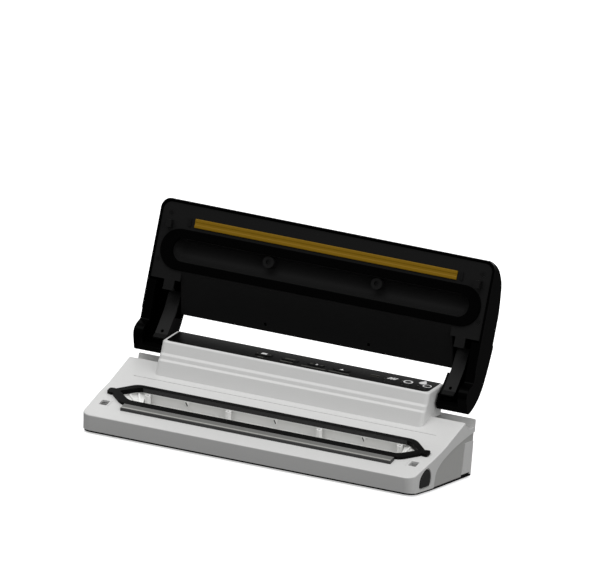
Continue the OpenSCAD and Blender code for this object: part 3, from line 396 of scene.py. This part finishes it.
def slab(w, d, r, z0, z1, at=(0, 0), steps=8):
    """A plate of width w and depth d with corners of radius r."""
    x, y = w / 2, d / 2
    corners = [(at[0] + i * x, at[1] + j * y) for i, j in ((-1, -1), (1, -1), (1, 1), (-1, 1))]
    return plate(corners, z0, z1, [(r, (0, 1, 2, 3))] if r else (), steps)


def across(points, x0, x1, rounds=(), steps=6):
    """A side profile in Y-Z pushed along X."""
    turn = Matrix(((0, 0, 1, x0), (1, 0, 0, 0), (0, 1, 0, 0), (0, 0, 0, 1)))
    return push(flat(points, turn, rounds, steps), (x1 - x0, 0, 0))


def flared(points, x0, depth, grow, rounds):
    """A side profile pushed along X that widens by grow about a point at the foot of the side."""
    bm = across(points, x0, x0 + depth, rounds)
    outer = [v for v in bm.verts if v.co.x > x0 + depth / 2]
    bmesh.ops.scale(bm, vec=(1, grow, grow), verts=outer, space=Matrix.Translation((0, -60, 0)))
    return bm


def drum(r, length, at, steps=64):
    """A cylinder along X."""
    bm = bmesh.new()
    bmesh.ops.create_cone(bm, cap_ends=True, segments=steps, radius1=r, radius2=r, depth=length)
    bm.transform(Matrix.Rotation(math.pi / 2, 4, "Y"))
    bm.transform(Matrix.Translation(at))
    return bm


def box(size, at=(0, 0, 0)):
    bm = bmesh.new()
    bmesh.ops.create_cube(bm, size=1)
    bmesh.ops.scale(bm, vec=size, verts=bm.verts)
    bm.transform(Matrix.Translation(at))
    return bm


def moved(bm, matrix):
    """Moves a shape and keeps its faces outwards when the move mirrors it."""
    bm.transform(matrix)
    if matrix.determinant() < 0:
        bmesh.ops.reverse_faces(bm, faces=bm.faces)
    return bm


def both(make):
    """The same shape on the right and on the left."""
    return [make(), moved(make(), MIRROR)]


def work_object(bm):
    me = bpy.data.meshes.new("work")
    bm.to_mesh(me)
    bm.free()
    ob = bpy.data.objects.new("work", me)
    bpy.context.scene.collection.objects.link(ob)
    return ob


def combine(base, tools, how="DIFFERENCE"):
    """Joins or cuts a shape with each tool in turn and uses them all up."""
    a = work_object(base)
    for tool in tools:
        bmesh.ops.recalc_face_normals(tool, faces=tool.faces)
        b = work_object(tool)
        mod = a.modifiers.new("b", "BOOLEAN")
        mod.object, mod.operation, mod.solver = b, how, "EXACT"
        bpy.context.view_layer.update()
        me = bpy.data.meshes.new_from_object(a.evaluated_get(bpy.context.evaluated_depsgraph_get()))
        a.modifiers.clear()
        a.data = me
        bpy.data.objects.remove(b)
    out = bmesh.new()
    out.from_mesh(a.data)
    bpy.data.objects.remove(a)
    bmesh.ops.remove_doubles(out, verts=out.verts, dist=0.003)
    return out


def join(parts):
    """Several loose shapes as one."""
    whole = bmesh.new()
    for part in parts:
        me = bpy.data.meshes.new("part")
        part.to_mesh(me)
        part.free()
        whole.from_mesh(me)
        bpy.data.meshes.remove(me)
    return whole


def round_edges(bm, edges, r, steps):
    bmesh.ops.bevel(bm, geom=edges, offset=r, segments=steps, profile=0.5, affect="EDGES", material=-1,
                    clamp_overlap=True)


def sharp_edges(bm, degrees, above):
    """Edges that turn by more than degrees and lie wholly above a height."""
    return [e for e in bm.edges if len(e.link_faces) == 2 and e.calc_face_angle(0) > math.radians(degrees)
            and min(v.co.z for v in e.verts) > above]


def runs_along(e, axis):
    d = (e.verts[1].co - e.verts[0].co).normalized()
    return abs(d[axis]) > 0.9


def inset(p, d):
    """The same outline drawn in by d; corners stay corners."""
    out = []
    for i, b in enumerate(p):
        b, a, c = Vector(b), Vector(p[i - 1]), Vector(p[(i + 1) % len(p)])
        u, v = (b - a).normalized(), (c - b).normalized()
        n, m = Vector((-u.y, u.x)), Vector((-v.y, v.x))
        q = b + n * d
        k = ((b + m * d - q).cross(v)) / u.cross(v) if abs(u.cross(v)) > 1e-6 else 0
        out.append(tuple(q + u * k))
    return out


# ---------------------------------------------------------------- housing
def rear_y(z):
    """The back wall, which leans forward as it rises."""
    return 76.3 - REAR_LEAN * z


def wedge(d, low):
    """The low body, d inside its outer skin and down to low; the outer one has its edges rounded."""
    foot_y, foot_z = FRONT_FOOT
    side = [(foot_y - (low - foot_z) * FRONT_LEAN, low), (rear_y(low), low), (rear_y(LIP_Z), LIP_Z), SLOPE_END,
            (KINK_Y, KINK_Z), (FRONT_Y, FRONT_H)]
    bm = across(inset(side, d), -HALF + d, HALF - d)
    bmesh.ops.bisect_plane(bm, geom=bm.verts[:] + bm.edges[:] + bm.faces[:], plane_co=(0, TAPER_FROM, 0),
                           plane_no=(0, 1, 0))
    for v in bm.verts:
        if v.co.y < TAPER_FROM - 0.01:
            here = (v.co.y - TAPER_TO) / (TAPER_FROM - TAPER_TO) * (HALF - HALF_FRONT)
            v.co.x *= (HALF_FRONT + here - d) / (HALF - d)
    kink = [e for e in bm.edges if all(abs(v.co.y - KINK_Y) < 3 and v.co.z > 30 for v in e.verts) and runs_along(e, 0)]
    round_edges(bm, kink, 0.4, 1)
    front_corners = [e for e in bm.edges if all(v.co.y < -60 for v in e.verts) and not runs_along(e, 0)
                     and abs(e.verts[0].co.z - e.verts[1].co.z) > 8]
    round_edges(bm, front_corners, 10 - d, 8)
    if d == 0:
        round_edges(bm, sharp_edges(bm, 38, low + 0.5), 1.4, 3)
    return bm


def console(d):
    """The raised block at the back, grown upwards step by step along CONSOLE_SIDE, with its sloping roof."""
    z0, y0 = CONSOLE_SIDE[0]
    x = CONSOLE_X - d
    bm = flat([(-x, y0 + d), (x, y0 + d), (x, rear_y(z0) - d), (-x, rear_y(z0) - d)], Matrix.Translation((0, 0, z0)),
              [(4.4 - d, (0, 1))], 6)
    bmesh.ops.recalc_face_normals(bm, faces=bm.faces)
    roof = bm.faces[0]
    if roof.normal.z < 0:
        bmesh.ops.reverse_faces(bm, faces=[roof])
    here = (z0, y0)
    for k, (z, y) in enumerate(CONSOLE_SIDE[1:]):
        got = bmesh.ops.extrude_face_region(bm, geom=[roof])
        if k:
            bmesh.ops.delete(bm, geom=[roof], context="FACES_ONLY")
        roof = next(g for g in got["geom"] if isinstance(g, bmesh.types.BMFace))
        for v in roof.verts:
            front = v.co.y < 45
            v.co.z += z - here[0]
            v.co.y += (y - here[1]) if front else rear_y(z) - rear_y(here[0])
        here = (z, y)
    for v in roof.verts:
        v.co.z = TOP_Z - d + (v.co.y - TOP_Y) * math.tan(math.radians(TOP_TILT))
    bmesh.ops.recalc_face_normals(bm, faces=bm.faces)
    if d == 0:
        round_edges(bm, [e for e in bm.edges if all(v.co.y > 60 for v in e.verts) and runs_along(e, 2)], 2.2, 4)
        round_edges(bm, sharp_edges(bm, 45, 82), 2.0, 4)
    return bm


def chamber_opening():
    """The six-sided hole in the deck over the vacuum chamber."""
    tip, bend, half = 166.2, 148.6, 18.9
    corners = [(-tip, 0), (-bend, -half), (bend, -half), (tip, 0), (bend, half), (-bend, half)]
    bm = plate([(x, y - CHAMBER_A) for x, y in corners], DECK_B - 9, DECK_B + 4, [(2.2, (0, 3)), (6, (1, 2, 4, 5))])
    return moved(bm, DECK)


def cradle():
    """The round hollow that the lid's arm turns in, closed at the back by the lip."""
    middle = CONSOLE_X + 24
    return combine(drum(CRADLE_R, 48, (middle, HINGE_Y, HINGE_Z), steps=96),
                   [box((60, LIP_Y, 120), (middle, LIP_Y / 2, 60))], "INTERSECT")


def button_hole(gap, x0, r):
    """The release button's outline, larger by gap, cut from x0 outwards."""
    outline = [(y + BUTTON_AT[0], z + BUTTON_AT[1]) for y, z in inset(BUTTON, -gap)]
    return across(outline, x0, 200, [(r, range(6))])


def side_recess():
    """The arched recess in the side wall, without the post at its back end."""
    arch = [(-24.3, -6), (90, -6), (90, 48.4), (58, 45.4), (18, 37), (-9.2, 28.2), (-22.4, 19)]
    post = box((9, 39, 76), (184, 70.4, 0))
    return combine(flared(arch, SIDE_FLOOR, 2.6, 1.02, [(12, (3, 4)), (8, (5,)), (5, (6,))]), [post])


def vent(i):
    """One upright slot of the row in the back wall."""
    at = Matrix.Translation((40 + i * 8, 74, 22)) @ Matrix.Rotation(math.pi / 2, 4, "X")
    return moved(slab(3, 18, 1.4, -7, 7, (0, 0), 4), at)


def openings():
    """Everything that is cut out of the grey shell."""
    cuts = both(cradle)
    cuts += both(lambda: drum(3.56, 12, (145, HINGE_Y, HINGE_Z), steps=32))  # hinge pins
    cuts += both(lambda: button_hole(0.3, 170, 4))
    cuts += both(lambda: button_hole(1.3, 182.6, 4.4))
    cuts += both(side_recess)
    cuts += both(lambda: box((1.2, 39, 43.6), (184.98, 70.35, 16.2)))  # shallow face of the post
    cuts += both(lambda: box((5.4, 92, 8), (185, 26, 1.6)))  # foot of the side wall
    cuts += [chamber_opening(), moved(slab(297.4, 11.4, 0, DECK_B - 10, DECK_B + 10, (0, -BAR_A)), DECK)]
    cuts += both(lambda: moved(slab(8.4, 10.6, 0.8, DECK_B - 7, DECK_B + 7, (170, -HOOK_A), 3), DECK))
    cuts += [moved(box((332, 0.8, 0.9), (0, -55, DECK_B + 1.5)), DECK)]  # fine line behind the chamber
    cuts += both(lambda: moved(box((1, 13, 0.8), (163.6, -HOOK_A - 1, DECK_B)), DECK))  # tick beside each slot
    cuts += [moved(slab(287.6, 50, 5, -1.9, 6, (0, 26.9)), TOP), moved(slab(280, 26, 4, -8, 2, (0, 18.6)), TOP)]
    cuts += [vent(i) for i in range(10)]
    inlet = Matrix.Translation((-150, rear_y(20), 20)) @ Matrix.Rotation(math.atan(REAR_LEAN), 4, "X")
    return cuts + [moved(box((24.4, 14, 15.4)), inlet)]


def housing():
    """The light grey shell: wedge and console in one, hollow below, with linings behind the cradles."""
    bm = combine(wedge(0, LOW), [console(0)], "UNION")
    bm = combine(bm, [wedge(WALL, -6), console(WALL), box((276, 40, 30), (0, 47, 46))])
    for s in (-1, 1):
        lining = combine(drum(CRADLE_R + WALL, 37.6, (s * 166.1, HINGE_Y, HINGE_Z), steps=96), [wedge(0, LOW)],
                         "INTERSECT")
        bm = combine(bm, [lining], "UNION")
    bm = combine(bm, openings())
    bmesh.ops.dissolve_limit(bm, angle_limit=math.radians(0.3), verts=bm.verts, edges=bm.edges)
    shell = place(bm, "housing_shell", "base", "abs_light_grey_moulded", "upper_housing", bevel=0.28, sharp=30)
    # The back wall is one plane with many holes: shaded flat, so that no sliver between the holes tints the rest.
    back_way = Vector((0, 1, REAR_LEAN)).normalized()
    for p in shell.data.polygons:
        p.use_smooth = p.normal.angle(back_way, 0) > math.radians(0.5)


def recess_shade_skin():
    """A thin textured skin on the floor of the side recess, a tone darker than the body as painted shade, clear of the
    post and of the cradle's lining.
    """
    arch = [(-23.7, 3.5), (75, 3.5), (71.6, 47), (64, 46.4), (57.6, 44.9), (18, 36.4), (-8.9, 27.7), (-21.8, 18.7)]
    bm = across(arch, SIDE_FLOOR - 0.02, SIDE_FLOOR + 0.16, [(9, (4, 5)), (7, (6,)), (5, (7,))])
    return combine(bm, [box((4, 40, 76.8), (184, 70.6, 0)),
                        drum(CRADLE_R + WALL, 10, (184, HINGE_Y, HINGE_Z), steps=96)])


def bar_glint_strip():
    """A pale strip on the near edge of the seal bar's cloth: painted highlight of that edge."""
    bm = moved(slab(296, 2.1, 0, DECK_B + 3.3, DECK_B + 3.42, (0, -BAR_A - 3.6)), DECK)
    place(bm, "seal_bar_glint_strip", "base", "ptfe_cloth_painted_glint", slot="ptfe_tape")


def chamber_trim():
    """Painted sheen on the gasket's far inner face, the tray's pale rim below it, and three dark marks of painted
    shade on the far wall.
    """
    far = -CHAMBER_A + 16.8
    # A thin dark grey sheet over the gasket's far inner face: painted sheen.
    lip = box((290, 0.12, 4.9), (0, far - 0.08, DECK_B + 0.3))
    rim = box((288, 0.7, 0.7), (0, far + 0.2, DECK_B - 2.7))
    place(moved(lip, DECK), "gasket_far_face_sheen", "base", "rubber_gasket_painted_sheen", slot="lower_gasket")
    place(moved(rim, DECK), "tray_rim", "base", "abs_white_gloss", slot="chamber_tray")
    # Three small dark grey pieces leaning in the far wall: painted shade on its small V-shaped ribs.
    lean = Matrix.Rotation(math.radians(-24), 4, "Y")
    notch_shades = [moved(box((0.9, 0.3, 4.6)), DECK @ Matrix.Translation((x, far - 0.6, DECK_B - 5.6)) @ lean)
               for x in (-97, 0, 97)]
    place(join(notch_shades), "tray_notch_shades", "base", "nylon_dark_grey", slot="chamber_tray")


# ---------------------------------------------------------------- printed marks on the control panel
# Places are (x, y) on the console's top, and up is how far above it a mark's underside lies.
def mark(points, x, y, up=0.0, turn=0.0, rounds=()):
    """A flat printed shape given by its outline about its own middle."""
    bm = plate(points, up, up + INK, rounds, 4)
    bm.transform(TOP @ Matrix.Translation((x, y, 0)) @ Matrix.Rotation(math.radians(turn), 4, "Z"))
    return bm


def bar_mark(x, y, w, h, up=0.0, turn=0.0):
    return mark([(i * w / 2, j * h / 2) for i, j in ((-1, -1), (1, -1), (1, 1), (-1, 1))], x, y, up, turn)


def drop_mark(x, y, r, up=0.0):
    outline = [(-0.9, -0.7), (0, -1.1), (0.9, -0.7), (0.95, 0.1), (0, 1.9), (-0.95, 0.1)]
    return mark([(i * r, j * r) for i, j in outline], x, y, up, 0, [(r * 0.5, (0, 1, 2, 3, 5))])


def ring_mark(x, y, r, w, up=0.0, squeeze=1.0):
    bm = bmesh.new()
    for k in (r, r - w):
        bmesh.ops.create_circle(bm, segments=48, radius=k)
    bmesh.ops.bridge_loops(bm, edges=bm.edges)
    bm.transform(TOP @ Matrix.Translation((x, y, up)) @ Matrix.Diagonal((1, squeeze, 1, 1)))
    return push(bm, TOP.to_3x3() @ Vector((0, 0, INK)))


def dot_mark(x, y, r):
    bm = bmesh.new()
    bmesh.ops.create_circle(bm, cap_ends=True, segments=24, radius=r)
    bm.transform(TOP @ Matrix.Translation((x, y, 0)))
    return push(bm, TOP.to_3x3() @ Vector((0, 0, INK)))


def panel_marks():
    """Plain bars below the keys, generic marks by the lamps, and the keys' own marks, which move with the keys."""
    bars = [(-42.6, 8.8, 6.5), (-14.5, 9.9, 14), (15.8, 8.3, 27), (43.6, 8.4, 22)]
    place(join([bar_mark(x, y, w, 0.9) for x, y, w in bars]), "panel_words", "base", "screen_print_mid",
          slot="panel_graphics")
    light = [bar_mark(x, 22.6, 1.9, 7.0, turn=-24) for x in (94.0, 97.1, 100.2)]
    light += [ring_mark(114.6, 21.9, 5.0, 1.6), drop_mark(128.6, 27.4, 4.3), ring_mark(136.0, 20.4, 4.6, 1.1)]
    place(join(light), "panel_marks_light", "base", "screen_print_light", "panel_graphics")
    dim = [bar_mark(77.9, 22.8, 10, 1.6), bar_mark(96.9, 19.4, 9, 0.5), bar_mark(90.2, 24.6, 4, 0.7),
           bar_mark(108.0, 22.4, 1.2, 4)]
    dots = ((89.9, 19.1), (93.4, 10), (108.7, 17.5), (112.6, 9.9), (127.6, 16.4), (132.1, 9.3))
    dim += [dot_mark(x, y, 0.8) for x, y in dots]
    dim += [bar_mark(x, y, 4.4, 0.6) for x, y in ((98.6, 10), (117.8, 9.9), (137.0, 9.3))]
    place(join(dim), "panel_marks_dim", "base", "screen_print_dim", slot="panel_graphics")
    up = 0.3
    quad = [(-3.2, -2.3), (3.2, -2.0), (2.9, 2.3), (-2.9, 2.0)]
    triangle = [(-2.2, -1.6), (2.2, -1.6), (0, 2.2)]
    for bm, name, key, tone in (
        (mark(quad, -42.9, 20.2, up, 0, [(0.5, (0, 1, 2, 3))]), "mark", 1, "light"),
        (ring_mark(-42.9, 18.8, 7.6, 0.6, up, 0.5), "ring", 1, "dim"),
        (bar_mark(-14, 19.0, 11, 3, up), "mark", 2, "dim"),
        (drop_mark(15.4, 18.6, 1.3, up), "mark", 3, "light"),
        (join([bar_mark(x, 18.9, 3, 2.6, up) for x in (9.6, 20.8)]), "side", 3, "dim"),
        (mark(triangle, 43.2, 18.4, up), "mark", 4, "light"),
        (bar_mark(43.2, 15.9, 9, 0.6, up), "line", 4, "dim"),
    ):
        place(bm, f"key_{key}_{name}", f"key_body_{key}", "screen_print_" + tone, slot=f"key_{key}")


# ---------------------------------------------------------------- the whole sealer
bpy.context.scene.view_settings.view_transform = "Standard"
camera()
backdrop()
paper_floor()
skylights()
housing()
panel_marks()
# Each side recess gets its darker skin of painted shade.
for side, bm in zip(("right", "left"), both(recess_shade_skin)):
    place(bm, "side_recess_shade_" + side, "base", "abs_grey_recess_shade", slot="upper_housing")
bar_glint_strip()
chamber_trim()
# Everything else keeps its CAD shape and only has its edges rounded, more on the soft gaskets than on hard parts.
for n in ("lid_cover", "lid_panel"):
    from_cad(n, 0.35)
for n in ("lower_gasket", "upper_gasket"):
    from_cad(n, 0.7, segments=3)
for n in ("sealing_bar", "seal_pad", "lid_hooks", "lid_bumpers", "lid_braces", "chamber_tray", "chamber_end_inserts",
          "control_panel", "release_button_left", "release_button_right", "power_inlet", "bottom_cover",
          "rubber_feet"):
    from_cad(n, 0.25)
